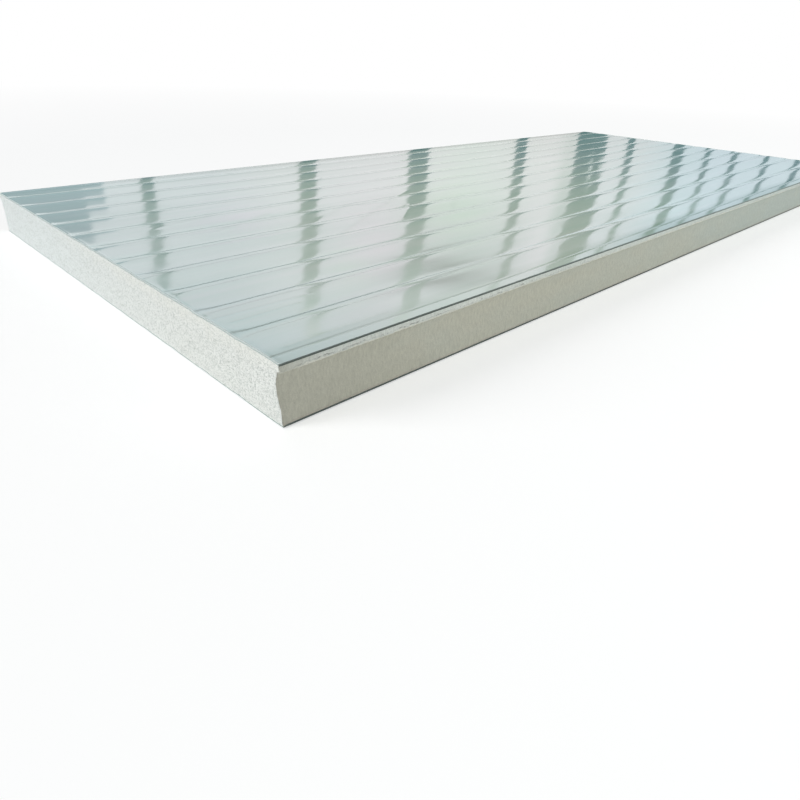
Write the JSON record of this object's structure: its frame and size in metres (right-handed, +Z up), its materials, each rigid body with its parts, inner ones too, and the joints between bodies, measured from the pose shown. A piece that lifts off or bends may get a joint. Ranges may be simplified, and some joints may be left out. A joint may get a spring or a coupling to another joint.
{
  "type": "insulated sandwich panel",
  "caption": "Flat insulated sandwich panel: two thin painted steel facings with shallow lengthwise grooves, bonded to a rigid foam core with hollowed long sides.",
  "frame": {"origin": "middle of the panel's lower face", "axes": "+X along the panel, +Y across it, +Z up through its thickness, from the lower facing to the upper one"},
  "size_m": [2.16, 0.95, 0.075],
  "materials": {
    "facing_paint": "glossy pale grey-white coil coating",
    "rigid_foam": "matte, rough where cut"
  },
  "bodies": {
    "root": {"top_facing": "facing_paint", "foam_core": "rigid_foam", "bottom_facing": "facing_paint"}
  },
  "joints": []
}
